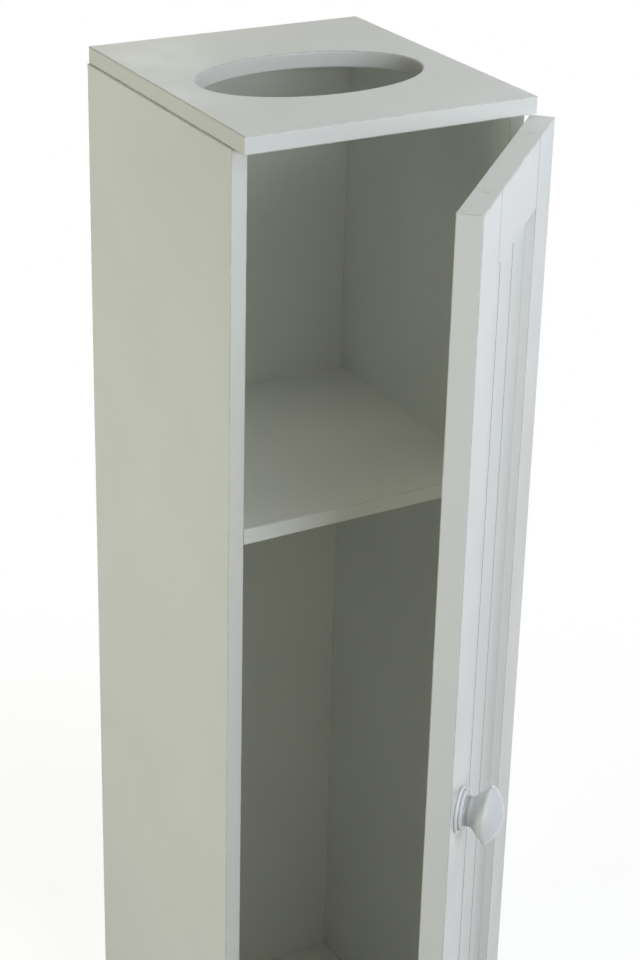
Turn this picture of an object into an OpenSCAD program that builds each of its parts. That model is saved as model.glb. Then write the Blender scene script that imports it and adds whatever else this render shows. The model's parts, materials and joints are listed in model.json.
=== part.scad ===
// Slim free-standing storage cabinet with an oval opening in its top,
// one fixed shelf and a framed door on two butt hinges. Millimetres, +Z up.
// Origin: centre of the base panel's underside. The front faces -Y.

/* [Cabinet] */
// Width over the side panels
body_w = 170; // [150:1:220]
// Overall height
body_h = 660; // [520:5:900]
// Depth of the side panels
body_d = 173; // [150:1:220]
// Thickness of the side panels
side_t = 9; // [8:0.5:15]
// Thickness of the top and base panels
top_t = 9.5; // [8:0.5:15]
// How far the top and base reach forward of the sides, over and under the door
overhang = 12; // [0:0.5:20]
// How far each side panel stands out past the edge of the top and base
top_inset = 1; // [0:0.25:3]
// Rounding of the painted edges
ease_r = 0.8; // [0.3:0.1:2]

/* [Top opening] */
// Width of the elliptical opening
hole_w = 128; // [90:1:132]
// Depth of the opening, front to back
hole_d = 80.5; // [50:0.5:84]
// From the front edge of the top to the middle of the opening
hole_front = 87; // [70:1:100]
// Rounding of the upper and lower rims of the opening
hole_ease_r = 1.2; // [0.5:0.1:3]

/* [Shelf and back] */
// Clear height above the shelf
upper_bay_h = 207; // [150:1:260]
// Thickness of the shelf
shelf_t = 9; // [8:0.5:15]
// Thickness of the back panel
back_t = 3; // [2.5:0.5:5]
// From the rear edges of the sides to the rear face of the back panel
back_inset = 5; // [3:0.5:10]
// Depth of the grooves that hold the back panel
back_groove_depth = 4; // [2:0.5:5]
// Clearance of a sliding fit, each side
slide_fit = 0.1; // [0.05:0.05:0.3]

/* [Dowels] */
// Diameter of the dowels
dowel_d = 5; // [4:0.5:6]
// Length of a dowel between the sides and the top or base
dowel_l = 20; // [14:1:30]
// Length of a dowel between the shelf and a side
shelf_dowel_l = 16; // [12:1:24]
// How deep a dowel sits in the face of a panel
dowel_seat = 5.5; // [4:0.5:7]
// Spare depth at the blind end of a hole
hole_spare = 0.5; // [0:0.1:2]
// Dowels along each side panel end
dowels_per_end = 3; // [2:1:5]
// Dowels at each end of the shelf
dowels_per_shelf = 2; // [2:1:4]
// From the front or rear of a joint to its first dowel
dowel_margin = 26; // [15:1:40]

/* [Door] */
// Thickness of the door frame
door_t = 13.2; // [10:0.1:19]
// Step from each side of the cabinet in to the edge of the door
door_reveal = 2.3; // [0.5:0.1:5]
// Gap above and below the door
door_gap = 2; // [1:0.25:4]
// Gap between the closed door and the side panels, for the hinge leaves
hinge_gap = 2; // [1.9:0.1:4]
// Width of the two upright stiles
stile_w = 38; // [30:0.5:50]
// Height of the two cross rails
rail_h = 37.2; // [30:0.1:80]
// Thickness of the grooved panel in the frame
panel_t = 3.5; // [3:0.5:6]
// Depth of the frame grooves that hold the panel
panel_groove_depth = 6; // [4:0.5:8]
// Spare depth behind the panel and the rail tenons
panel_spare = 0.5; // [0.2:0.1:2]
// Board widths that the upright V grooves mark out
board_count = 3; // [2:1:6]
// Width of a V groove
v_groove_w = 1.6; // [0.8:0.1:3]
// Rounding where stile, rail and panel opening meet
joint_ease_r = 0.4; // [0.2:0.1:1]
// Angle that the door stands open
door_open = 44; // [0:1:170]

/* [Knob] */
// Height of the middle of the knob above the floor
knob_z = 322.5; // [120:0.5:520]
// Diameter of the knob head
knob_d = 30; // [26:1:40]
// How far the knob stands out from the door
knob_proj = 23.4; // [20:0.1:32]
// Diameter of the round foot against the door
knob_foot_d = 24.4; // [18:0.2:30]
// Thickness of the foot
knob_foot_h = 1.8; // [1.2:0.1:3]
// Diameter of the smaller step on the foot
knob_step_d = 22; // [16:0.2:28]
// Thickness of the step
knob_step_h = 2.2; // [1.2:0.1:2.6]
// Diameter of the neck
knob_neck_d = 15.4; // [10:0.2:16]
// Radius of the hollow round the neck
knob_cove_r = 4; // [3:0.1:4.4]
// From the door to the middle of the hollow
knob_cove_s = 5.8; // [5:0.1:7]
// Radius of the bead round the rim
knob_bead_r = 1.8; // [1:0.1:2.4]
// Diameter of the knob screw
knob_screw_d = 4; // [3:0.5:5]
// How far the knob screw reaches into the knob
knob_screw_grip = 9; // [5:0.5:14]
// Clearance round the knob screw in the door, on the diameter
knob_screw_fit = 0.5; // [0.3:0.1:1]

/* [Hinges] */
// Height of a hinge
hinge_h = 38; // [25:1:50]
// From the end of the door to the middle of a hinge
hinge_margin = 78; // [45:1:120]
// Thickness of a hinge leaf
leaf_t = 0.9; // [0.7:0.05:0.9]
// Pin centre to the far edge of the cabinet leaf
cabinet_leaf_w = 10.8; // [9:0.1:11]
// Pin centre to the far edge of the door leaf
door_leaf_w = 17; // [14:0.5:24]
// Diameter of the hinge pin
pin_d = 2; // [1.6:0.1:3]
// Running clearance of the pin in the door leaf, on the radius
pin_fit = 0.05; // [0.03:0.01:0.1]
// Gap between the knuckles and the side of the cabinet
knuckle_gap = 0.3; // [0.2:0.1:1]
// Knuckles on one hinge, shared by its two leaves
knuckle_count = 5; // [3:2:7]
// Gap between neighbouring knuckles
knuckle_space = 0.2; // [0.1:0.05:0.5]
// Diameter of the hinge screws
hinge_screw_d = 2.5; // [2:0.1:3]
// Length of the hinge screws
hinge_screw_l = 10; // [8:1:11]
// From the end of a leaf to its screws
hinge_screw_margin = 7; // [5:0.5:10]
// Height of the domed heads of the hinge pin
pin_head_h = 0.8; // [0.4:0.1:1.2]

/* [Catch] */
// Height of the middle of the magnetic catch above the floor
catch_z = 92; // [60:1:160]
// Length of the catch case over its two ears
catch_l = 44; // [38:1:60]
// How far the catch case stands out from the side panel
catch_h = 13; // [11:0.5:18]
// Depth of the catch case, front to back
catch_d = 13; // [12.5:0.5:18]
// Thickness of the ears and of the case's walls
catch_wall = 2.2; // [1.6:0.1:2.6]
// Length of the magnet
magnet_l = 20; // [14:1:22]
// Thickness of the magnet
magnet_t = 5; // [3:0.5:5.5]
// Depth of the steel plates inside the case
pole_d = 10; // [8:0.5:10]
// Thickness of the steel plates on the magnet
pole_t = 1; // [0.8:0.1:1.2]
// How far the steel plates stand out of the case
pole_proud = 0.7; // [0.3:0.1:0.8]
// How far the magnet lies behind the front of the case
magnet_recess = 1; // [0.3:0.1:2]
// Diameter of the catch screws
catch_screw_d = 3; // [2.5:0.1:3.5]
// Length of the catch screws
catch_screw_l = 8; // [6:0.5:9]
// Clearance round the catch screws, on the diameter
catch_screw_fit = 0.4; // [0.2:0.1:0.8]
// Travel that the slots in the ears give
catch_travel = 3; // [0.5:0.5:4]
// Corner radius of the ears
catch_ear_r = 2; // [1:0.5:4]
// Corner radius of the case
catch_case_r = 0.6; // [0.3:0.1:1.5]
// Height of the strike plate on the door
strike_l = 34; // [24:1:50]
// Width of the strike plate
strike_w = 13; // [9:0.5:16]
// Thickness of the strike plate
strike_t = 1; // [0.8:0.1:1]
// From the top of the strike plate to its screw
strike_margin = 5; // [4:0.5:7]
// Corner radius of the strike plate
strike_r = 1.5; // [0.5:0.5:3]

/* [Hidden] */
$fn = 64;

// Head sizes of the screws, as multiples of the shank diameter
sunk_head_ratio = 2;
round_head_ratio = 1.9;
round_head_h_ratio = 0.6;

paint = [0.92, 0.925, 0.90];
timber = [0.82, 0.68, 0.48];
steel = [0.72, 0.73, 0.74];
ferrite = [0.16, 0.16, 0.17];
plastic = [0.90, 0.90, 0.88];
// How far joined shapes run into each other
eps = 0.01;
// How far a cutter runs past the face that it opens
over = 1;

// Carcass
front_y = overhang - (body_d + overhang) / 2;
rear_y = front_y + body_d;
top_w = body_w - 2 * top_inset;
top_d = body_d + overhang;
side_h = body_h - 2 * top_t;
top_z = body_h - top_t;
inner_w = body_w - 2 * side_t;
back_rear_y = rear_y - back_inset;
back_front_y = back_rear_y - back_t;
shelf_z = top_z - upper_bay_h - shelf_t;
hole_y = front_y - overhang + hole_front;

// Door, closed
door_w = body_w - 2 * door_reveal;
door_h = side_h - 2 * door_gap;
door_x = -door_w / 2;
door_z = top_t + door_gap;
door_back_y = front_y - hinge_gap;
door_front_y = door_back_y - door_t;
tenon_l = panel_groove_depth - panel_spare;
opening_w = door_w - 2 * stile_w;
opening_h = door_h - 2 * rail_h;
frame_groove_t = panel_t + 2 * slide_fit;
groove_front_y = door_back_y - (door_t + frame_groove_t) / 2;
panel_front_y = groove_front_y + slide_fit;

// Hinges: the pin runs beside the front corner of the right side panel
knuckle_d = pin_d + 2 * leaf_t;
pin_x = body_w / 2 + knuckle_gap + knuckle_d / 2;
pin_y = front_y - hinge_gap / 2;
lower_hinge_z = door_z + hinge_margin;
upper_hinge_z = door_z + door_h - hinge_margin;
hinge_screw_offsets = [hinge_screw_margin - hinge_h / 2, hinge_h / 2 - hinge_screw_margin];
cabinet_screw_x = body_w / 2 - side_t / 2;
door_screw_x = (door_x + door_w + pin_x - door_leaf_w) / 2;
knuckle_pitch = hinge_h / knuckle_count;

// Knob, on the middle of the free stile
knob_x = door_x + stile_w / 2;

// Catch on the inner face of the left side panel, its strike plate on the free stile
catch_x = -inner_w / 2;
catch_body_l = magnet_l + 2 * catch_wall;
catch_screw_dz = (catch_l + catch_body_l) / 4;
pole_stack = magnet_t + 2 * pole_t;
pole_x = catch_x + catch_h - catch_wall - slide_fit - pole_stack;
strike_x = pole_x + pole_stack / 2;
strike_screw_d = hinge_screw_d;
strike_screw_l = hinge_screw_l;
strike_screw_z = catch_z + strike_l / 2 - strike_margin;

// ---- Shared shapes -------------------------------------------------------

// What a corner of radius r leaves outside it
module corner_waste(r) {
    difference() {
        translate([-over, -over]) square(r + over);
        translate([r, r]) circle(r);
    }
}

// Rectangle from the origin with its corners rounded, by r_lo at low x and r_hi at high x
module soft_rect(size, r_lo, r_hi) {
    difference() {
        square(size);
        if (r_lo > 0) {
            corner_waste(r_lo);
            translate([0, size.y]) mirror([0, 1]) corner_waste(r_lo);
        }
        if (r_hi > 0) {
            translate([size.x, 0]) mirror([1, 0]) corner_waste(r_hi);
            translate([size.x, size.y]) mirror([1, 0]) mirror([0, 1]) corner_waste(r_hi);
        }
    }
}

// Board with every edge eased. The edges at its high-x end can have a radius of their own
module eased_board(size, r, r_end = undef) {
    r_hi = is_undef(r_end) ? r : r_end;
    intersection() {
        linear_extrude(size.z) soft_rect([size.x, size.y], r, r_hi);
        translate([0, size.y, 0])
            rotate([90, 0, 0]) linear_extrude(size.y) soft_rect([size.x, size.z], r, r_hi);
        rotate([90, 0, 90]) linear_extrude(size.x) soft_rect([size.y, size.z], r, r);
    }
}

// Evenly spread places between two ends
function spread(first, last, count) =
    [for (i = [0 : count - 1]) first + (last - first) * i / (count - 1)];

// Round rod along an axis, from a point: "x", "y" or "z", negative lengths run backwards
module rod(at, axis, d, length) {
    turn = axis == "x" ? [0, 90, 0] : axis == "y" ? [-90, 0, 0] : [0, 0, 0];
    translate(at) rotate(turn) translate([0, 0, min(length, 0)]) cylinder(d = d, h = abs(length));
}

// Countersunk screw, head at z = 0, pointing down
module countersunk_screw(d, length) {
    head_r = d / 2 * sunk_head_ratio;
    head_h = head_r - d / 2;
    rotate_extrude()
        polygon([[0, 0], [head_r, 0], [d / 2, -head_h], [d / 2, d - length], [0, -length]]);
}

// Round-headed screw, head seated on z = 0, pointing down
module round_head_screw(d, length) {
    head_d = d * round_head_ratio;
    head_h = d * round_head_h_ratio;
    dome_r = (pow(head_d / 2, 2) + pow(head_h, 2)) / (2 * head_h);
    rotate_extrude()
        polygon([[0, head_h / 2], [d / 2, head_h / 2], [d / 2, d - length], [0, -length]]);
    rotate_extrude() intersection() {
        square([head_d / 2, head_h]);
        translate([0, head_h - dome_r]) circle(dome_r);
    }
}

// The door's pieces are drawn closed and swung about the hinge pin
module on_door() {
    translate([pin_x, pin_y, 0]) rotate([0, 0, door_open]) translate([-pin_x, -pin_y, 0]) children();
}

// ---- Dowels and their holes ----------------------------------------------

end_dowel_x = body_w / 2 - side_t / 2;
end_dowel_ys = spread(front_y + dowel_margin, back_front_y - dowel_margin, dowels_per_end);
shelf_dowel_ys = spread(front_y + dowel_margin, back_front_y - dowel_margin, dowels_per_shelf);
shelf_dowel_z = shelf_z + shelf_t / 2;

// Dowels upright in the ends of both side panels; spare lengthens them into their holes
module end_dowels(z, seat_side, spare) {
    for (side = [-1, 1], y = end_dowel_ys)
        translate([side * end_dowel_x, y, z + seat_side * (dowel_seat + spare)])
            mirror([0, 0, seat_side > 0 ? 1 : 0]) cylinder(d = dowel_d, h = dowel_l + 2 * spare);
}

// Dowels level in both ends of the shelf
module shelf_dowel_set(spare) {
    for (side = [-1, 1], y = shelf_dowel_ys)
        rod([side * (inner_w / 2 + dowel_seat + spare), y, shelf_dowel_z], "x", dowel_d,
            -side * (shelf_dowel_l + 2 * spare));
}

module top_dowels() {
    color(timber) end_dowels(top_z, 1, 0);
}

module base_dowels() {
    color(timber) end_dowels(top_t, -1, 0);
}

module shelf_dowels() {
    color(timber) shelf_dowel_set(0);
}

// ---- Carcass -------------------------------------------------------------

// Cutter for the opening: a round cutter with flared rims, stretched to an ellipse,
// so that the rims are rounded a little more at the two tight ends
module opening_cutter() {
    mean_r = (hole_w + hole_d) / 4;
    r = hole_ease_r;
    scale([hole_w / 2 / mean_r, hole_d / 2 / mean_r, 1]) rotate_extrude($fn = 180) difference() {
        translate([0, -over]) square([mean_r + r, top_t + 2 * over]);
        translate([mean_r, r]) square([r + over, top_t - 2 * r]);
        translate([mean_r + r, r]) circle(r, $fn = 64);
        translate([mean_r + r, top_t - r]) circle(r, $fn = 64);
    }
}

module end_panel() {
    translate([-top_w / 2, front_y - overhang, 0]) eased_board([top_w, top_d, top_t], ease_r);
}

// Groove for the back panel across the top or base, open inwards
module back_groove_across(z) {
    length = inner_w + 2 * back_groove_depth;
    translate([-length / 2, back_front_y - slide_fit, z])
        cube([length, back_t + 2 * slide_fit, back_groove_depth]);
}

module top_panel() {
    color(paint) difference() {
        translate([0, 0, top_z]) end_panel();
        translate([0, hole_y, top_z]) opening_cutter();
        back_groove_across(top_z);
        end_dowels(top_z, 1, hole_spare);
    }
}

module base_panel() {
    color(paint) difference() {
        end_panel();
        back_groove_across(top_t - back_groove_depth);
        end_dowels(top_t, -1, hole_spare);
    }
}

// Side panel drawn as the left one: its inner face looks to +X
module side_blank() {
    difference() {
        translate([-body_w / 2, front_y, top_t]) eased_board([side_t, body_d, side_h], ease_r);
        translate([-inner_w / 2 - back_groove_depth, back_front_y - slide_fit, 0])
            cube([side_t, back_t + 2 * slide_fit, body_h]);
    }
}

module left_side() {
    color(paint) difference() {
        side_blank();
        end_dowels(top_z, 1, hole_spare);
        end_dowels(top_t, -1, hole_spare);
        shelf_dowel_set(hole_spare);
        catch_screw_set();
    }
}

module right_side() {
    color(paint) difference() {
        mirror([1, 0, 0]) side_blank();
        end_dowels(top_z, 1, hole_spare);
        end_dowels(top_t, -1, hole_spare);
        shelf_dowel_set(hole_spare);
        cabinet_screw_set();
    }
}

module back_panel() {
    w = inner_w + 2 * back_groove_depth - 2 * slide_fit;
    h = side_h + 2 * back_groove_depth - 2 * slide_fit;
    color(paint) translate([-w / 2, back_front_y, top_t - back_groove_depth + slide_fit])
        cube([w, back_t, h]);
}

module shelf() {
    depth = back_front_y - front_y;
    color(paint) difference() {
        translate([-inner_w / 2, front_y, shelf_z])
            rotate([90, 0, 90]) linear_extrude(inner_w) soft_rect([depth, shelf_t], ease_r, 0);
        shelf_dowel_set(hole_spare);
    }
}

// ---- Hinges --------------------------------------------------------------

// Knuckle i counted from the foot, with its end gaps taken off
module knuckle(i, r, trim) {
    translate([0, 0, i * knuckle_pitch + trim])
        cylinder(r = r, h = knuckle_pitch - 2 * trim);
}

// Leaf at the pin, its plate running to -X. side_y is 1 for the cabinet and -1 for the door
module hinge_leaf(width, side_y, first_knuckle, bore_r) {
    plate_gap = hinge_gap / 2 - leaf_t;
    plate_y = side_y > 0 ? plate_gap : -hinge_gap / 2;
    web_start = knuckle_d / 2 + knuckle_gap;
    difference() {
        union() {
            translate([-width, plate_y, 0]) cube([width - web_start, leaf_t, hinge_h]);
            for (i = [first_knuckle : 2 : knuckle_count - 1]) {
                knuckle(i, knuckle_d / 2, knuckle_space / 2);
                translate([-web_start - eps, plate_y, i * knuckle_pitch + knuckle_space / 2])
                    cube([web_start + eps, leaf_t, knuckle_pitch - knuckle_space]);
            }
        }
        translate([0, 0, -over]) cylinder(r = bore_r, h = hinge_h + 2 * over);
    }
}

module at_pin(z) {
    translate([pin_x, pin_y, z - hinge_h / 2]) children();
}

// Screws through both cabinet leaves into the front edge of the right side
module cabinet_screw_set() {
    for (z = [lower_hinge_z, upper_hinge_z], dz = hinge_screw_offsets)
        translate([cabinet_screw_x, front_y - leaf_t, z + dz]) rotate([90, 0, 0])
            countersunk_screw(hinge_screw_d, hinge_screw_l);
}

// Screws through both door leaves into the back of the hinge stile
module door_screw_set() {
    for (z = [lower_hinge_z, upper_hinge_z], dz = hinge_screw_offsets)
        translate([door_screw_x, door_back_y + leaf_t, z + dz]) rotate([-90, 0, 0])
            countersunk_screw(hinge_screw_d, hinge_screw_l);
}

module cabinet_leaf(z) {
    difference() {
        at_pin(z) hinge_leaf(cabinet_leaf_w, 1, 0, pin_d / 2);
        cabinet_screw_set();
    }
}

module door_leaf(z) {
    difference() {
        at_pin(z) hinge_leaf(door_leaf_w, -1, 1, pin_d / 2 + pin_fit);
        door_screw_set();
    }
}

// Pin with a low domed head above and below the knuckles
module hinge_pin(z) {
    head_r = knuckle_d / 2 - knuckle_space;
    dome_r = (pow(head_r, 2) + pow(pin_head_h, 2)) / (2 * pin_head_h);
    at_pin(z) rotate_extrude() {
        square([pin_d / 2, hinge_h]);
        for (end = [0, 1]) translate([0, end * hinge_h]) mirror([0, 1 - end]) intersection() {
            square([head_r, pin_head_h]);
            translate([0, pin_head_h - dome_r]) circle(dome_r);
        }
    }
}

module upper_cabinet_leaf() {
    color(steel) cabinet_leaf(upper_hinge_z);
}

module lower_cabinet_leaf() {
    color(steel) cabinet_leaf(lower_hinge_z);
}

module upper_door_leaf() {
    color(steel) on_door() door_leaf(upper_hinge_z);
}

module lower_door_leaf() {
    color(steel) on_door() door_leaf(lower_hinge_z);
}

module upper_hinge_pin() {
    color(steel) hinge_pin(upper_hinge_z);
}

module lower_hinge_pin() {
    color(steel) hinge_pin(lower_hinge_z);
}

module cabinet_hinge_screws() {
    color(steel) cabinet_screw_set();
}

module door_hinge_screws() {
    color(steel) on_door() door_screw_set();
}

// ---- Magnetic catch ------------------------------------------------------

// Both catch screws, heads on the case's ears, pointing into the left side
module catch_screw_set() {
    for (side = [-1, 1])
        translate([catch_x + catch_wall, front_y + catch_d / 2, catch_z + side * catch_screw_dz])
            rotate([0, 90, 0])
                round_head_screw(catch_screw_d, catch_screw_l);
}

module catch_case() {
    color(plastic) difference() {
        translate([catch_x, front_y, catch_z]) {
            translate([0, 0, -catch_l / 2]) rotate([90, 0, 90])
                linear_extrude(catch_wall) soft_rect([catch_d, catch_l], catch_ear_r, catch_ear_r);
            translate([0, 0, -catch_body_l / 2]) rotate([90, 0, 90])
                linear_extrude(catch_h) soft_rect([catch_d, catch_body_l], catch_case_r, catch_case_r);
        }
        // Pocket for the magnet between its plates, open at the front
        translate([pole_x - slide_fit, front_y - over, catch_z - magnet_l / 2 - slide_fit])
            cube([pole_stack + 2 * slide_fit, pole_d + over, magnet_l + 2 * slide_fit]);
        for (side = [-1, 1]) ear_slot(catch_z + side * catch_screw_dz);
    }
}

// Slot through an ear, so that the catch can be set forward or back
module ear_slot(z) {
    slot_d = catch_screw_d + catch_screw_fit;
    y = front_y + catch_d / 2;
    for (dy = [-catch_travel / 2, catch_travel / 2])
        rod([catch_x - over, y + dy, z], "x", slot_d, catch_wall + 2 * over);
    translate([catch_x - over, y - catch_travel / 2, z - slot_d / 2])
        cube([catch_wall + 2 * over, catch_travel, slot_d]);
}

module catch_magnet() {
    color(ferrite) translate([pole_x + pole_t, front_y + magnet_recess, catch_z - magnet_l / 2])
        cube([magnet_t, pole_d - magnet_recess, magnet_l]);
}

module catch_pole_plates() {
    color(steel) for (x = [pole_x, pole_x + pole_t + magnet_t])
        translate([x, front_y - pole_proud, catch_z - magnet_l / 2])
            cube([pole_t, pole_d + pole_proud, magnet_l]);
}

module catch_screws() {
    color(steel) catch_screw_set();
}

// Screw of the strike plate, in the back of the free stile
module strike_screw_set() {
    translate([strike_x, door_back_y + strike_t, strike_screw_z]) rotate([-90, 0, 0])
        countersunk_screw(strike_screw_d, strike_screw_l);
}

module strike_plate() {
    color(steel) on_door() difference() {
        translate([strike_x - strike_w / 2, door_back_y + strike_t, catch_z - strike_l / 2])
            rotate([90, 0, 0]) linear_extrude(strike_t) soft_rect([strike_w, strike_l], strike_r, strike_r);
        strike_screw_set();
    }
}

module strike_screw() {
    color(steel) on_door() strike_screw_set();
}

// ---- Door ----------------------------------------------------------------

// Stile drawn as the free one: its inner edge looks to +X
module stile_blank() {
    difference() {
        translate([door_x, door_front_y, door_z])
            eased_board([stile_w, door_t, door_h], ease_r, joint_ease_r);
        translate([door_x + stile_w - panel_groove_depth, groove_front_y, 0])
            cube([stile_w, frame_groove_t, body_h]);
    }
}

module free_stile() {
    color(paint) on_door() difference() {
        stile_blank();
        knob_screw_hole();
        knob_screw_set();
        strike_screw_set();
    }
}

module hinge_stile() {
    color(paint) on_door() difference() {
        mirror([1, 0, 0]) stile_blank();
        door_screw_set();
    }
}

// Rail drawn as the bottom one: its inner edge looks up
module rail_blank() {
    tenon_w = opening_w + 2 * tenon_l;
    difference() {
        union() {
            translate([-opening_w / 2, door_front_y, 0])
                rotate([90, 0, 90]) linear_extrude(opening_w) soft_rail_section();
            translate([-tenon_w / 2, panel_front_y, 0]) cube([tenon_w, panel_t, rail_h]);
        }
        translate([-door_w / 2, groove_front_y, rail_h - panel_groove_depth])
            cube([door_w, frame_groove_t, panel_groove_depth + over]);
    }
}

// Upright section of a rail: outer edges eased more than the inner ones
module soft_rail_section() {
    translate([door_t, 0]) rotate(90) soft_rect([rail_h, door_t], ease_r, joint_ease_r);
}

module bottom_rail() {
    color(paint) on_door() translate([0, 0, door_z]) rail_blank();
}

module top_rail() {
    color(paint) on_door() translate([0, 0, door_z + door_h]) mirror([0, 0, 1]) rail_blank();
}

module grooved_panel() {
    w = opening_w + 2 * tenon_l;
    h = opening_h + 2 * tenon_l;
    board_w = opening_w / board_count;
    color(paint) on_door() difference() {
        translate([-w / 2, panel_front_y, door_z + rail_h - tenon_l]) cube([w, panel_t, h]);
        for (i = [1 : board_count - 1])
            translate([-opening_w / 2 + i * board_w, panel_front_y, door_z])
                rotate(45) translate([-v_groove_w / sqrt(8), -v_groove_w / sqrt(8), 0])
                    cube([v_groove_w / sqrt(2), v_groove_w / sqrt(2), door_h]);
    }
}

// ---- Knob ----------------------------------------------------------------

// Half section, foot on y = 0. The flare leaves the cove at 45 degrees and
// meets a round bead at the rim, which runs smoothly into the domed face
flare_r = knob_neck_d / 2 + knob_cove_r * (1 - cos(45));
flare_s = knob_cove_s + knob_cove_r * sin(45);
bead_r0 = knob_d / 2 - knob_bead_r;
bead_s = bead_r0 + (flare_s - flare_r) + knob_bead_r * sqrt(2);
dome_drop = knob_proj - bead_s;
dome_r = (pow(bead_r0, 2) + pow(dome_drop, 2) - pow(knob_bead_r, 2)) / (2 * (dome_drop - knob_bead_r));
dome_s = knob_proj - dome_r;
dome_join = atan2(bead_s - dome_s, bead_r0);

module knob_section() {
    foot_bead = knob_foot_h / 2;
    step_bead = knob_step_h / 2;
    step_top = knob_foot_h + knob_step_h;
    join_r = bead_r0 + knob_bead_r * cos(dome_join);
    join_s = bead_s + knob_bead_r * sin(dome_join);
    square([knob_foot_d / 2 - foot_bead, knob_foot_h]);
    translate([knob_foot_d / 2 - foot_bead, foot_bead]) circle(foot_bead);
    translate([0, knob_foot_h]) {
        square([knob_step_d / 2 - step_bead, knob_step_h]);
        translate([knob_step_d / 2 - step_bead, step_bead]) circle(step_bead);
    }
    difference() {
        translate([0, step_top - eps]) square([knob_neck_d / 2 + knob_cove_r, flare_s - step_top + eps]);
        translate([knob_neck_d / 2 + knob_cove_r, knob_cove_s]) circle(knob_cove_r);
    }
    polygon([
        [0, flare_s - eps], [flare_r, flare_s - eps], [flare_r, flare_s],
        [bead_r0 + knob_bead_r * cos(45), bead_s - knob_bead_r * sin(45)],
        [bead_r0, bead_s], [join_r, join_s], [0, join_s]
    ]);
    translate([bead_r0, bead_s]) circle(knob_bead_r);
    intersection() {
        translate([0, dome_s]) circle(dome_r);
        translate([0, join_s - eps]) square([knob_d, knob_proj]);
    }
}

module knob() {
    color(paint) on_door() translate([knob_x, door_front_y, knob_z]) rotate([90, 0, 0]) difference() {
        rotate_extrude() intersection() {
            knob_section();
            square([knob_d, 2 * knob_proj]);
        }
        translate([0, 0, -over])
            cylinder(d = knob_screw_d, h = knob_screw_grip + hole_spare + over);
    }
}

// Clearance hole for the knob screw through the free stile
module knob_screw_hole() {
    rod([knob_x, door_front_y - over, knob_z], "y", knob_screw_d + knob_screw_fit,
        door_t + 2 * over);
}

// Knob screw, its head flush with the back of the free stile
module knob_screw_set() {
    translate([knob_x, door_back_y, knob_z]) rotate([-90, 0, 0])
        countersunk_screw(knob_screw_d, door_t + knob_screw_grip);
}

module knob_screw() {
    color(steel) on_door() knob_screw_set();
}

top_panel();
base_panel();
left_side();
right_side();
back_panel();
shelf();
top_dowels();
base_dowels();
shelf_dowels();
upper_cabinet_leaf();
lower_cabinet_leaf();
upper_hinge_pin();
lower_hinge_pin();
cabinet_hinge_screws();
catch_case();
catch_magnet();
catch_pole_plates();
catch_screws();
free_stile();
hinge_stile();
top_rail();
bottom_rail();
grooved_panel();
upper_door_leaf();
lower_door_leaf();
door_hinge_screws();
knob();
knob_screw();
strike_plate();
strike_screw();
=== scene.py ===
import json
import math

import bmesh
import bpy
from mathutils import Matrix, Vector


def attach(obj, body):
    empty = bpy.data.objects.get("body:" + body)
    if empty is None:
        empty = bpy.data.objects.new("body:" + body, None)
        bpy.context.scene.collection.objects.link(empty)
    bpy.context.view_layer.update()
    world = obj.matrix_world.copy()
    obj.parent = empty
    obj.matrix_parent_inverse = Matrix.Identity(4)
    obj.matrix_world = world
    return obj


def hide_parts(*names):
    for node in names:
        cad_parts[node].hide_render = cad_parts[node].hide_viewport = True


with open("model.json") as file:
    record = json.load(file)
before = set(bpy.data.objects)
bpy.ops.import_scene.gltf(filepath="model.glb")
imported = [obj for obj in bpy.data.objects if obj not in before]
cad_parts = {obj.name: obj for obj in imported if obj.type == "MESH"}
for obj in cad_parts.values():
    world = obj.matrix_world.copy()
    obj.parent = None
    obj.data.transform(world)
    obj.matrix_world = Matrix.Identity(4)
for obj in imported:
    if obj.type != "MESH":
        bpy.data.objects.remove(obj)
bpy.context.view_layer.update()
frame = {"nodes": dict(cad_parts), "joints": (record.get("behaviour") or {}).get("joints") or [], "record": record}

MM = 0.001

# ---- Camera ----------------------------------------------------------------

# Its place in the cabinet's frame, its direction in degrees and its lens
CAMERA_POINT = Vector((-0.5252, -0.9404, 0.9523))
CAMERA_AZIMUTH = -29.768
CAMERA_ELEVATION = 22.748
CAMERA_ROLL = 1.427
CAMERA_LENS = 78.904
SENSOR_W = 36.0
# The photograph is cut from the upper part of a taller view
CAMERA_SHIFT_Y = -0.1354
CAMERA_CLIP = (0.05, 60)

# ---- Lamps and floor -------------------------------------------------------

AMBIENT = 0.01
FLOOR_R = 6.0
FLOOR_SIDES = 64
FLOOR_COLOR = (0.5, 0.5, 0.5)
# Glow that lifts the lit floor to white and leaves the cabinet's shadow on it
FLOOR_LIFT = 0.71
# Distance from the cabinet's middle to where the floor starts to fade and to where it is plain white
FADE_START, FADE_END = 0.3, 0.7
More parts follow.
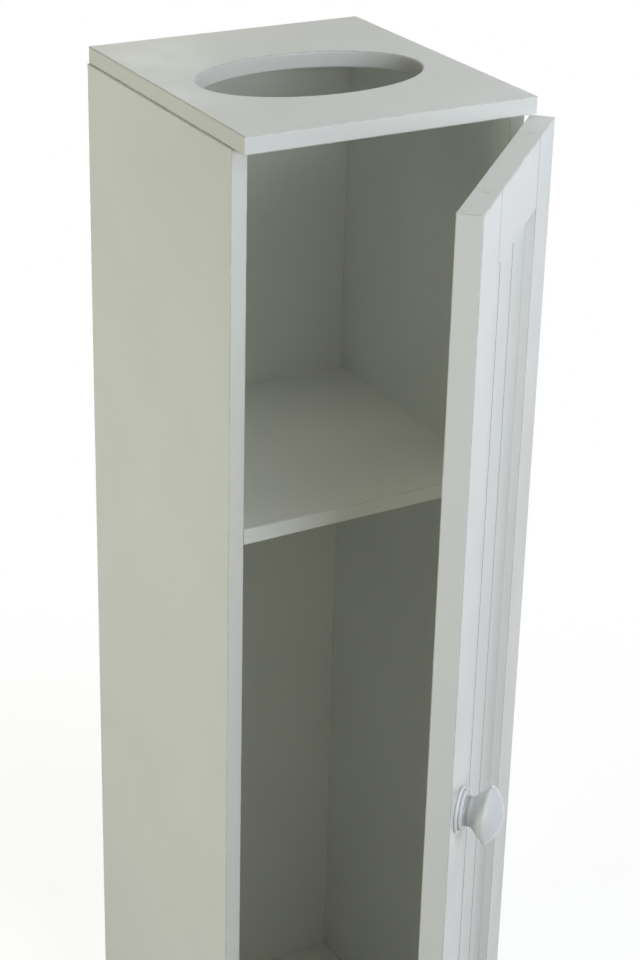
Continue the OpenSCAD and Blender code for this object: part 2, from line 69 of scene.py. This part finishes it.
# Lamps: point, point lit, size, power and colour
LAMPS = {
    "front": ((0.1, -1.2, 0.75), (0, 0, 0.45), 0.6, 6.4, (0.89, 0.92, 1.0)),
    "front_up": ((0.1, -0.9, 1.1), (0, 0, 0.5), 0.8, 1.85, (0.82, 0.87, 1.0)),
    "front_right": ((0.35, -0.3, 0.95), (0.02, -0.15, 0.5), 0.2, 0.68, (0.74, 0.83, 1.0)),
    "right": ((0.85, 0.12, 0.95), (0.02, -0.15, 0.55), 0.4, 0.4, (1.0, 1.0, 1.0)),
    "left": ((-0.9, 0.0, 0.5), (0, 0, 0.45), 0.4, 2.9, (0.99, 1.0, 0.84)),
    "top": ((0.0, 0.2, 2.4), (0, 0, 0.5), 1.4, 7.4, (1.0, 0.97, 0.8)),
    "back": ((0.0, 1.8, 0.8), (0, 0, 0.4), 1.6, 5.4, (0.94, 1.0, 0.87)),
    # Fill the back and the right side from below the top panel's level
    "back_low": ((0.15, 1.5, 0.3), (0.05, 0, 0.4), 0.55, 4.5, (1.0, 1.0, 1.0)),
    "right_back": ((0.95, 1.15, 0.3), (0, 0, 0.4), 0.55, 4.5, (1.0, 1.0, 1.0)),
}

# ---- Finishes --------------------------------------------------------------

# Satin paint where it lies thick and thin, on cut edges and darker on the arrises, painted shade in the
# door's seams and in the panel's grooves, and the knob's own with painted shade in its creases
PAINT_PALE = (0.842, 0.853, 0.802)
PAINT_DEEP = (0.812, 0.823, 0.772)
PAINT_EDGE = (0.80, 0.806, 0.752)
PAINT_ARRIS = (0.56, 0.555, 0.50)
PAINT_SEAM_SHADE = (0.36, 0.36, 0.33)
PAINT_GROOVE_SHADE = (0.42, 0.42, 0.39)
KNOB_PAINT = (0.80, 0.812, 0.795)
KNOB_PAINT_DEEP = (0.775, 0.787, 0.77)
KNOB_CREASE_SHADE = (0.38, 0.39, 0.37)
STEEL = (0.62, 0.63, 0.65)
STEEL_DULL = (0.50, 0.51, 0.52)
BEECH = (0.62, 0.42, 0.22)
BEECH_DARK = (0.42, 0.25, 0.11)
BEECH_PORE = (0.25, 0.13, 0.05)
PLASTIC = (0.77, 0.77, 0.73)
PLASTIC_DEEP = (0.74, 0.74, 0.69)
FERRITE = (0.030, 0.030, 0.033)
FERRITE_PALE = (0.062, 0.060, 0.060)
# Distance of each crease round the knob from the door, and its width, in millimetres
KNOB_CREASES = ((0.0, 0.5), (5.0, 1.9))
# Share of a crease's width that is fully darkened by painted shade
CREASE_CORE = 0.2
# Roughness of each finish, from its smoothest to its dullest spots
PAINT_ROUGHNESS = (0.28, 0.35)
KNOB_ROUGHNESS = (0.13, 0.2)
STEEL_ROUGHNESS = (0.2, 0.34)
BEECH_ROUGHNESS = (0.55, 0.7)
PLASTIC_ROUGHNESS = (0.44, 0.54)
FERRITE_ROUGHNESS = (0.5, 0.68)
# How much rougher paint is on cut edges and on the arrises, and steel in its dull patches
CUT_ROUGHER = 0.1
ARRIS_ROUGHER = 0.25
DULL_ROUGHER = 0.12
# How strongly dull patches tint the steel and fibres the beech
DULL_TINT = 0.35
FIBRE_TINT = 0.35
# How strongly the arrises darken, from their palest to their darkest patches
ARRIS_TINT = (0.35, 0.7)
# Where a look starts and where it is full, by the part of the normal along an axis: an arris by
# the nearest axis, a cut edge by the one that the board's faces look along, and the joints of the
# door's frame by the door's depth
ARRIS_LEAN = (0.985, 0.86)
CUT_LEAN = (0.95, 0.6)
JOINT_LEAN = (0.6, 0.9)
# Distance from the middle of a joint's line to where it starts to fade and to where it ends
JOINT_FADE = (0.3 * MM, 0.9 * MM)
# Values that soft noise seldom leaves
NOISE_SPAN = (0.3, 0.7)

# ---- Screw sizes -----------------------------------------------------------

# Shank diameter of each group of screws, in millimetres, and whether its heads are round
SCREWS = {
    "cabinet_hinge_screws": (2.5, False),
    "door_hinge_screws": (2.5, False),
    "strike_screw": (2.5, False),
    "knob_screw": (4.0, False),
    "catch_screws": (3.0, True),
}
SCREW_SIDES = 28
ROWS_PER_TURN = 8
# Half the width of the thread's foot, as a share of its pitch
THREAD_HALF_W = 0.3
# Sizes as shares of the shank diameter
THREAD_PITCH = 0.45
THREAD_CORE = 0.68
PLAIN_NECK = 0.35
ROUND_HEAD_R = 0.95
ROUND_HEAD_H = 0.6
RECESS_REACH = 0.58
RECESS_HALF_W = 0.13
RECESS_DEPTH = 0.5
# How far the recess's cutter stands out of the head, in the same shares
CUTTER_RISE = 0.2
# Scale of that reach at the cutter's top and at its foot, where the width changes half as much
CUTTER_TOP = 1.1
CUTTER_FOOT = 0.45
# Turn from one screw's recess to the next, in degrees
RECESS_TURN = 37
# Steps down a round head, in degrees from its top
HEAD_STEPS = (14, 28, 42, 56, 70, 82, 90)
# Edges between faces that meet at more than this many degrees stay sharp
SHARP_ANGLE = 38
# Points of a CAD screw that lie this close are one, and its rim is level to within RIM_STEP
WELD = 0.005 * MM
RIM_STEP = 0.001 * MM

# ---- Camera and lamps ------------------------------------------------------


def make_camera():
    data = bpy.data.cameras.new("camera")
    data.sensor_width = SENSOR_W
    data.lens = CAMERA_LENS
    data.shift_y = CAMERA_SHIFT_Y
    data.clip_start, data.clip_end = CAMERA_CLIP
    camera = bpy.data.objects.new("camera", data)
    bpy.context.scene.collection.objects.link(camera)
    azimuth, elevation = math.radians(CAMERA_AZIMUTH), math.radians(CAMERA_ELEVATION)
    back = Vector((
        math.sin(azimuth) * math.cos(elevation),
        -math.cos(azimuth) * math.cos(elevation),
        math.sin(elevation),
    ))
    turn = (-back).to_track_quat("-Z", "Y").to_matrix().to_4x4()
    roll = Matrix.Rotation(math.radians(CAMERA_ROLL), 4, "Z")
    camera.matrix_world = Matrix.Translation(CAMERA_POINT) @ turn @ roll
    bpy.context.scene.camera = camera


def area_light(name, point, target, size, power, color):
    data = bpy.data.lights.new(name, "AREA")
    data.shape = "SQUARE"
    data.size = size
    data.energy = power
    data.color = color
    light = bpy.data.objects.new(name, data)
    light.visible_camera = False
    bpy.context.scene.collection.objects.link(light)
    light.location = point
    direction = Vector(target) - Vector(point)
    light.rotation_euler = direction.to_track_quat("-Z", "Y").to_euler()


# ---- Materials -------------------------------------------------------------

class Finish:
    """A material in the making: its nodes, its links and short ways to add to them.

    Places are in metres in the cabinet's frame, turned back by turn for pieces on the open door,
    so that the axes of place and normal run along the boards.
    """

    def __init__(self, name, turn=0.0):
        self.material = bpy.data.materials.new(name)
        self.material.use_nodes = True
        self.nodes = self.material.node_tree.nodes
        self.links = self.material.node_tree.links
        self.shader = self.nodes["Principled BSDF"]
        coordinates = self.add("TexCoord")
        self.place = self.turned(coordinates.outputs["Object"], turn)
        self.normal = self.turned(coordinates.outputs["Normal"], turn)

    def add(self, kind, **settings):
        node = self.nodes.new("ShaderNode" + kind)
        for name, value in settings.items():
            setattr(node, name, value)
        return node

    def feed(self, socket, value):
        """Links an output to the socket, or writes a plain value there."""
        if isinstance(value, bpy.types.NodeSocket):
            self.links.new(value, socket)
        elif isinstance(value, tuple) and len(value) == 3 and socket.type == "RGBA":
            socket.default_value = (*value, 1)
        else:
            socket.default_value = value

    def turned(self, vector, angle):
        if not angle:
            return vector
        node = self.add("VectorRotate", rotation_type="Z_AXIS")
        self.feed(node.inputs["Vector"], vector)
        self.feed(node.inputs["Angle"], -angle)
        return node.outputs[0]

    def math(self, operation, first, second=0.0):
        node = self.add("Math", operation=operation)
        self.feed(node.inputs[0], first)
        self.feed(node.inputs[1], second)
        return node.outputs[0]

    def parts(self, vector):
        """The three coordinates of a vector."""
        node = self.add("SeparateXYZ")
        self.feed(node.inputs[0], vector)
        return list(node.outputs)

    def ramp(self, value, start, end, low=0.0, high=1.0):
        """Smooth step from low to high while value goes from start to end."""
        node = self.add("MapRange", interpolation_type="SMOOTHSTEP")
        self.feed(node.inputs["Value"], value)
        for name, number in zip(("From Min", "From Max", "To Min", "To Max"), (start, end, low, high)):
            self.feed(node.inputs[name], number)
        return node.outputs["Result"]

    def blend(self, amount, first, second):
        node = self.add("Mix", data_type="RGBA")
        self.feed(node.inputs["Factor"], amount)
        self.feed(node.inputs["A"], first)
        self.feed(node.inputs["B"], second)
        return node.outputs["Result"]

    def noise(self, size, stretch=(1, 1, 1), detail=2.0, place=None):
        """Soft noise from 0 to 1, its features about size long and drawn out by stretch."""
        mapping = self.add("Mapping", vector_type="POINT")
        self.feed(mapping.inputs["Vector"], place or self.place)
        self.feed(mapping.inputs["Scale"], tuple(1 / (size * s) for s in stretch))
        node = self.add("TexNoise")
        self.feed(node.inputs["Vector"], mapping.outputs[0])
        self.feed(node.inputs["Scale"], 1.0)
        self.feed(node.inputs["Detail"], detail)
        return node.outputs["Fac"]

    def bump(self, height, depth, strength=1.0):
        """Adds relief, depth metres from 0 to 1 of height, on top of what is there."""
        node = self.add("Bump")
        self.feed(node.inputs["Height"], height)
        self.feed(node.inputs["Distance"], depth)
        self.feed(node.inputs["Strength"], strength)
        socket = self.shader.inputs["Normal"]
        if socket.is_linked:
            self.links.new(socket.links[0].from_socket, node.inputs["Normal"])
        self.links.new(node.outputs[0], socket)

    def finish(self, color, roughness, metallic=0.0):
        self.feed(self.shader.inputs["Base Color"], color)
        self.feed(self.shader.inputs["Roughness"], roughness)
        self.feed(self.shader.inputs["Metallic"], metallic)
        return self.material


def drawn_out(axis, length):
    """Stretch that draws noise out along one axis."""
    return tuple(length if name == axis else 1.0 for name in "XYZ")


def joint_line(coat, joints):
    """1 in a narrow line along each upright joint of the door's frame, and 0 away from them."""
    across = coat.parts(coat.place)[0]
    line = 0.0
    for joint in joints:
        distance = coat.math("ABSOLUTE", coat.math("SUBTRACT", across, joint))
        line = coat.math("MAXIMUM", line, coat.ramp(distance, *JOINT_FADE, 1.0, 0.0))
    return line


def painted_board(name, face, grain, turn=0.0, joints=(), round_opening=False, grooved=False):
    """Satin white paint on fibreboard, a little soaked in on the cut edges and darker along the arrises.

    face is the axis that the board's two faces look along, grain the one that it is long in.
    """
    coat = Finish(name, turn)
    lean = [coat.math("ABSOLUTE", part) for part in coat.parts(coat.normal)]
    squarest = coat.math("MAXIMUM", lean[0], coat.math("MAXIMUM", lean[1], lean[2]))
    if round_opening:
        # The opening's wall faces every way, so only the panel's own edges count
        level = coat.math("SUBTRACT", 1.0, coat.math("MULTIPLY", lean[2], lean[2]))
        squarest = coat.math("MAXIMUM", squarest, coat.math("SQRT", level))
    arris = coat.ramp(squarest, *ARRIS_LEAN)
    cut = coat.ramp(lean["XYZ".index(face)], *CUT_LEAN)
    cloud = coat.noise(90 * MM, detail=3.0)
    color = coat.blend(coat.ramp(cloud, *NOISE_SPAN), PAINT_DEEP, PAINT_PALE)
    color = coat.blend(cut, color, PAINT_EDGE)
    if grooved:
        # Painted shade in the panel's V-grooves, laid on its arrises
        color = coat.blend(arris, color, PAINT_GROOVE_SHADE)
    else:
        # Darker along the arrises, in uneven patches
        arris_patches = coat.ramp(coat.noise(7 * MM, detail=3.0), 0.3, 0.6, *ARRIS_TINT)
        color = coat.blend(coat.math("MULTIPLY", arris, arris_patches), color, PAINT_ARRIS)
    # Painted shade along the seams between stiles and rails, on the door's faces only
    if joints:
        line = coat.math("MULTIPLY", joint_line(coat, joints), coat.ramp(lean[1], *JOINT_LEAN))
        color = coat.blend(line, color, PAINT_SEAM_SHADE)
    smudge = coat.ramp(coat.noise(25 * MM, detail=3.0), 0.35, 0.65, *PAINT_ROUGHNESS)
    roughness = coat.math("ADD", smudge, coat.math("MULTIPLY", cut, CUT_ROUGHER))
    roughness = coat.math("ADD", roughness, coat.math("MULTIPLY", arris, ARRIS_ROUGHER))
    coat.bump(coat.noise(3 * MM, detail=1.0), 0.03 * MM)
    coat.bump(coat.noise(0.8 * MM), 0.006 * MM)
    coat.bump(coat.noise(0.9 * MM, drawn_out(grain, 40)), 0.006 * MM)
    coat.bump(coat.noise(0.5 * MM, drawn_out(grain, 6)), 0.03 * MM, cut)
    return coat.finish(color, roughness)


def door_box(name, turn):
    """Lowest and highest corner of a CAD node in the closed door's axes."""
    back = Matrix.Rotation(-turn, 3, "Z")
    points = [back @ vertex.co for vertex in frame["nodes"][name].data.vertices]
    return Vector(map(min, zip(*points))), Vector(map(max, zip(*points)))


def knob_paint(turn):
    """Semi-gloss paint that shows faint rings from the lathe, with painted shade in the knob's creases."""
    coat = Finish("white_knob_paint", turn)
    low, high = door_box("knob", turn)
    middle = (low + high) / 2
    x, y, z = coat.parts(coat.place)
    aside = coat.math("SUBTRACT", x, middle.x)
    up = coat.math("SUBTRACT", z, middle.z)
    radius = coat.math("SQRT", coat.math("ADD", coat.math("POWER", aside, 2), coat.math("POWER", up, 2)))
    lathe = coat.add("CombineXYZ")
    coat.feed(lathe.inputs["X"], radius)
    coat.feed(lathe.inputs["Y"], y)
    color = coat.blend(coat.ramp(coat.noise(12 * MM), *NOISE_SPAN), KNOB_PAINT_DEEP, KNOB_PAINT)
    out = coat.math("SUBTRACT", high.y, y)
    # Painted shade in the creases at the knob's foot, against the door, and at its neck
    crease_shade = 0.0
    for crease, width in KNOB_CREASES:
        distance = coat.math("ABSOLUTE", coat.math("SUBTRACT", out, crease * MM))
        reach = width * MM
        crease_shade = coat.math("MAXIMUM", crease_shade, coat.ramp(distance, CREASE_CORE * reach, reach, 1.0, 0.0))
    color = coat.blend(crease_shade, color, KNOB_CREASE_SHADE)
    coat.bump(coat.noise(0.7 * MM, place=lathe.outputs[0]), 0.004 * MM)
    coat.bump(coat.noise(2.2 * MM, detail=1.0), 0.006 * MM)
    roughness = coat.ramp(coat.noise(6 * MM, detail=3.0), *NOISE_SPAN, *KNOB_ROUGHNESS)
    return coat.finish(color, roughness)


def plated_steel():
    """Bright plated steel with fine drawn lines, a few duller patches and a slight waviness."""
    metal = Finish("plated_steel")
    lines = metal.noise(0.12 * MM, drawn_out("Z", 40))
    dull = metal.ramp(metal.noise(5 * MM, detail=4.0), 0.48, 0.7)
    color = metal.blend(metal.math("MULTIPLY", dull, DULL_TINT), STEEL, STEEL_DULL)
    roughness = metal.ramp(lines, 0.2, 0.8, *STEEL_ROUGHNESS)
    roughness = metal.math("ADD", roughness, metal.math("MULTIPLY", dull, DULL_ROUGHER))
    metal.bump(lines, 0.002 * MM)
    metal.bump(metal.noise(2 * MM, detail=1.0), 0.008 * MM)
    return metal.finish(color, roughness, 1.0)


def beech(name, grain):
    """Plain beech: soft bands, fine fibres and short dark pores along the grain."""
    wood = Finish(name)
    bands = wood.noise(1.6 * MM, drawn_out(grain, 25), detail=1.0)
    fibres = wood.noise(0.25 * MM, drawn_out(grain, 30))
    pores = wood.ramp(wood.noise(0.3 * MM, drawn_out(grain, 7), detail=1.0), 0.66, 0.74)
    color = wood.blend(wood.ramp(bands, 0.35, 0.7), BEECH, BEECH_DARK)
    color = wood.blend(wood.math("MULTIPLY", fibres, FIBRE_TINT), color, BEECH_DARK)
    color = wood.blend(pores, color, BEECH_PORE)
    wood.bump(fibres, 0.02 * MM)
    wood.bump(pores, -0.03 * MM)
    return wood.finish(color, wood.ramp(bands, 0.2, 0.8, *BEECH_ROUGHNESS))


def white_plastic():
    """Moulded plastic with the fine texture of its mould."""
    shell = Finish("white_plastic")
    flow = shell.noise(8 * MM, drawn_out("Z", 3), detail=3.0)
    color = shell.blend(shell.ramp(flow, *NOISE_SPAN), PLASTIC_DEEP, PLASTIC)
    shell.bump(shell.noise(0.35 * MM), 0.012 * MM)
    return shell.finish(color, shell.ramp(flow, *NOISE_SPAN, *PLASTIC_ROUGHNESS))


def ferrite():
    """Dark sintered magnet with a fine grit."""
    block = Finish("ferrite")
    grit = block.noise(0.25 * MM, detail=3.0)
    color = block.blend(block.ramp(grit, 0.45, 0.75), FERRITE, FERRITE_PALE)
    block.bump(grit, 0.02 * MM)
    return block.finish(color, block.ramp(grit, *NOISE_SPAN, *FERRITE_ROUGHNESS))


# ---- Screws ----------------------------------------------------------------

def thread_height(turns):
    """Height of the thread, 0 to 1, at a number of turns round the screw."""
    return max(0.0, 1 - abs(turns % 1 - 0.5) / THREAD_HALF_W)


def screw_rows(d, length, round_head):
    """Rows (height, radius, threaded) from the top of the head at 0 down to the point."""
    if round_head:
        head_r, head_h = ROUND_HEAD_R * d, ROUND_HEAD_H * d
        rows = [
            (head_h * (math.cos(angle) - 1), head_r * math.sin(angle), False)
            for angle in map(math.radians, HEAD_STEPS)
        ]
        rows.append((-head_h, d / 2, False))
        neck = -head_h
    else:
        rows = [(0, d, False), (-d / 2, d / 2, False)]
        neck = -d / 2
    start, end = neck - PLAIN_NECK * d, -length
    count = round((start - end) / (THREAD_PITCH * d) * ROWS_PER_TURN)
    for i in range(count):
        height = start + (end - start) * i / count
        rows.append((height, min(d / 2, (height - end) / 2), True))
    return rows


def cross_recess(d):
    """Cutter for a cross recess, as a mesh that stands in the head's top."""
    def outline(scale, height):
        s, t = RECESS_REACH * d * scale, RECESS_HALF_W * d * (1 + scale) / 2
        quarter = [(t, t), (t, s), (-t, s)]
        points = []
        for turn in range(4):
            cos, sin = round(math.cos(turn * math.pi / 2)), round(math.sin(turn * math.pi / 2))
            points += [(x * cos - y * sin, x * sin + y * cos, height) for x, y in quarter]
        return points

    shape = bmesh.new()
    top = [shape.verts.new(p) for p in outline(CUTTER_TOP, CUTTER_RISE * d)]
    foot = [shape.verts.new(p) for p in outline(CUTTER_FOOT, -RECESS_DEPTH * d)]
    shape.faces.new(top)
    shape.faces.new(list(reversed(foot)))
    count = len(top)
    for i in range(count):
        j = (i + 1) % count
        shape.faces.new((top[i], foot[i], foot[j], top[j]))
    bmesh.ops.recalc_face_normals(shape, faces=shape.faces)
    mesh = bpy.data.meshes.new("recess")
    shape.to_mesh(mesh)
    shape.free()
    return mesh


def screw_mesh(d, length, round_head):
    """One screw in metres, the top of its head at the origin and its point down."""
    d *= MM
    shape = bmesh.new()
    rings = []
    for height, radius, threaded in screw_rows(d, length, round_head):
        ring = []
        for side in range(SCREW_SIDES):
            angle = 2 * math.pi * side / SCREW_SIDES
            r = radius
            if threaded:
                turns = height / (THREAD_PITCH * d) + side / SCREW_SIDES
                r *= THREAD_CORE + (1 - THREAD_CORE) * thread_height(turns)
            ring.append(shape.verts.new((r * math.cos(angle), r * math.sin(angle), height)))
        rings.append(ring)
    shape.faces.new(rings[0])
    point = shape.verts.new((0, 0, -length))
    for i in range(SCREW_SIDES):
        j = (i + 1) % SCREW_SIDES
        for upper, lower in zip(rings, rings[1:]):
            shape.faces.new((upper[i], lower[i], lower[j], upper[j]))
        shape.faces.new((rings[-1][i], point, rings[-1][j]))
    bmesh.ops.recalc_face_normals(shape, faces=shape.faces)
    mesh = bpy.data.meshes.new("screw")
    shape.to_mesh(mesh)
    shape.free()
    return with_recess(mesh, cross_recess(d))


def with_recess(mesh, cutter_mesh):
    """The screw's mesh with the cutter's shape taken out of its head."""
    collection = bpy.context.scene.collection
    screw = bpy.data.objects.new("screw", mesh)
    cutter = bpy.data.objects.new("cutter", cutter_mesh)
    collection.objects.link(screw)
    collection.objects.link(cutter)
    cut = screw.modifiers.new("recess", "BOOLEAN")
    cut.operation = "DIFFERENCE"
    cut.solver = "EXACT"
    cut.object = cutter
    bpy.context.view_layer.update()
    evaluated = screw.evaluated_get(bpy.context.evaluated_depsgraph_get())
    result = bpy.data.meshes.new_from_object(evaluated)
    bpy.data.objects.remove(screw)
    bpy.data.objects.remove(cutter)
    return result


def screw_places(node):
    """Top of the head and point of each screw in a CAD node."""
    shape = bmesh.new()
    shape.from_mesh(node.data)
    bmesh.ops.remove_doubles(shape, verts=shape.verts, dist=WELD)
    waiting = set(shape.verts)
    places = []
    while waiting:
        part, edge = [], [waiting.pop()]
        while edge:
            vertex = edge.pop()
            part.append(vertex.co.copy())
            for link in vertex.link_edges:
                other = link.other_vert(vertex)
                if other in waiting:
                    waiting.remove(other)
                    edge.append(other)
        middle = sum(part, Vector()) / len(part)
        point = max(part, key=lambda v: (v - middle).length)
        reach = max((v - point).length for v in part)
        rim = [v for v in part if (v - point).length > reach - RIM_STEP]
        places.append((sum(rim, Vector()) / len(rim), point))
    shape.free()
    return sorted(places, key=lambda place: tuple(place[0]))


def make_screws(name, body, material):
    """The screws of a CAD node, with threads and cross recesses, in place of its plain ones."""
    d, round_head = SCREWS[name]
    shape = bmesh.new()
    for index, (top, point) in enumerate(screw_places(frame["nodes"][name])):
        mesh = screw_mesh(d, (point - top).length, round_head)
        turn = Matrix.Rotation(math.radians(RECESS_TURN * index), 4, "Z")
        aim = Vector((0, 0, -1)).rotation_difference(point - top).to_matrix().to_4x4()
        mesh.transform(Matrix.Translation(top) @ aim @ turn)
        shape.from_mesh(mesh)
    mesh = bpy.data.meshes.new(name + "_threaded")
    shape.to_mesh(mesh)
    shape.free()
    mesh.polygons.foreach_set("use_smooth", [True] * len(mesh.polygons))
    mesh.set_sharp_from_angle(angle=math.radians(SHARP_ANGLE))
    mesh.materials.append(material)
    piece = bpy.data.objects.new(name + "_threaded", mesh)
    bpy.context.scene.collection.objects.link(piece)
    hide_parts(name)
    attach(piece, body)


# ---- Background and floor --------------------------------------------------

def seen_directly(nodes, links):
    """1 on rays from the camera, or by way of gloss or glass, and 0 on the rays that light things."""
    path = nodes.new("ShaderNodeLightPath")
    seen = path.outputs["Is Camera Ray"]
    for kind in ("Is Glossy Ray", "Is Transmission Ray"):
        either = nodes.new("ShaderNodeMath")
        either.operation = "MAXIMUM"
        links.new(seen, either.inputs[0])
        links.new(path.outputs[kind], either.inputs[1])
        seen = either.outputs[0]
    return seen


def mixed(nodes, links, amount, first, second):
    mix = nodes.new("ShaderNodeMixShader")
    links.new(amount, mix.inputs[0])
    links.new(first, mix.inputs[1])
    links.new(second, mix.inputs[2])
    return mix.outputs[0]


def make_world():
    world = bpy.data.worlds.new("studio")
    bpy.context.scene.world = world
    world.use_nodes = True
    nodes, links = world.node_tree.nodes, world.node_tree.links
    nodes.clear()
    ambient = nodes.new("ShaderNodeBackground")
    ambient.inputs["Color"].default_value = (1, 1, 1, 1)
    ambient.inputs["Strength"].default_value = AMBIENT
    white = nodes.new("ShaderNodeBackground")
    white.inputs["Color"].default_value = (1, 1, 1, 1)
    white.inputs["Strength"].default_value = 1
    out = nodes.new("ShaderNodeOutputWorld")
    shown = mixed(nodes, links, seen_directly(nodes, links), ambient.outputs[0], white.outputs[0])
    links.new(shown, out.inputs[0])


def make_floor():
    """Pale floor that keeps the cabinet's shadow near it and runs out to plain white."""
    bpy.ops.mesh.primitive_circle_add(vertices=FLOOR_SIDES, radius=FLOOR_R, fill_type="NGON")
    floor = bpy.context.object
    floor.name = "floor"
    material = bpy.data.materials.new("floor")
    material.use_nodes = True
    nodes, links = material.node_tree.nodes, material.node_tree.links
    nodes.clear()
    matt = nodes.new("ShaderNodeBsdfDiffuse")
    matt.inputs["Color"].default_value = (*FLOOR_COLOR, 1)
    lift = nodes.new("ShaderNodeEmission")
    lift.inputs["Strength"].default_value = FLOOR_LIFT
    lifted = nodes.new("ShaderNodeAddShader")
    links.new(matt.outputs[0], lifted.inputs[0])
    links.new(lift.outputs[0], lifted.inputs[1])
    white = nodes.new("ShaderNodeEmission")
    place = nodes.new("ShaderNodeTexCoord")
    distance = nodes.new("ShaderNodeVectorMath")
    distance.operation = "LENGTH"
    links.new(place.outputs["Object"], distance.inputs[0])
    fade = nodes.new("ShaderNodeMapRange")
    fade.interpolation_type = "SMOOTHSTEP"
    fade.inputs["From Min"].default_value = FADE_START
    fade.inputs["From Max"].default_value = FADE_END
    links.new(distance.outputs["Value"], fade.inputs["Value"])
    shown = mixed(nodes, links, fade.outputs["Result"], lifted.outputs[0], white.outputs[0])
    out = nodes.new("ShaderNodeOutputMaterial")
    both = mixed(nodes, links, seen_directly(nodes, links), matt.outputs[0], shown)
    links.new(both, out.inputs["Surface"])
    floor.data.materials.append(material)


# ---- The scene -------------------------------------------------------------

def make_finishes(turn):
    """The material of each CAD node, by the node's name, with the door turned by turn."""
    sides = painted_board("white_paint", "X", "Z")
    levels = painted_board("white_paint_level", "Z", "Y")
    joints = (door_box("free_stile", turn)[1].x, door_box("hinge_stile", turn)[0].x)
    door = painted_board("white_paint_door", "Y", "Z", turn, joints)
    rails = painted_board("white_paint_rails", "Y", "X", turn, joints)
    finishes = {
        "top_panel": painted_board("white_paint_top", "Z", "Y", round_opening=True),
        "base_panel": levels,
        "shelf": levels,
        "left_side": sides,
        "right_side": sides,
        "back_panel": painted_board("white_paint_back", "Y", "Z"),
        "free_stile": door,
        "hinge_stile": door,
        "grooved_panel": painted_board("white_paint_panel", "Y", "Z", turn, grooved=True),
        "top_rail": rails,
        "bottom_rail": rails,
        "knob": knob_paint(turn),
        "top_dowels": beech("beech", "Z"),
        "shelf_dowels": beech("beech_level", "X"),
        "catch_case": white_plastic(),
        "catch_magnet": ferrite(),
    }
    finishes["base_dowels"] = finishes["top_dowels"]
    steel = plated_steel()
    for part in frame["record"]["subparts"]:
        if part["material_slot"] == "plated_steel":
            finishes[part["node"]] = steel
    return finishes


def main():
    bpy.context.scene.view_settings.view_transform = "Standard"
    make_camera()
    make_world()
    make_floor()
    for name, (point, target, size, power, color) in LAMPS.items():
        area_light(name, point, target, size, power, color)
    # The joint's range starts at the closed door
    door_turn = math.radians(-frame["joints"][0]["range_deg"][0])
    finishes = make_finishes(door_turn)
    for name, node in frame["nodes"].items():
        for slot in node.material_slots:
            slot.material = finishes[name]
    for body, members in frame["record"]["behaviour"]["bodies"].items():
        for name in members:
            if name in SCREWS:
                make_screws(name, body, finishes[name])


main()
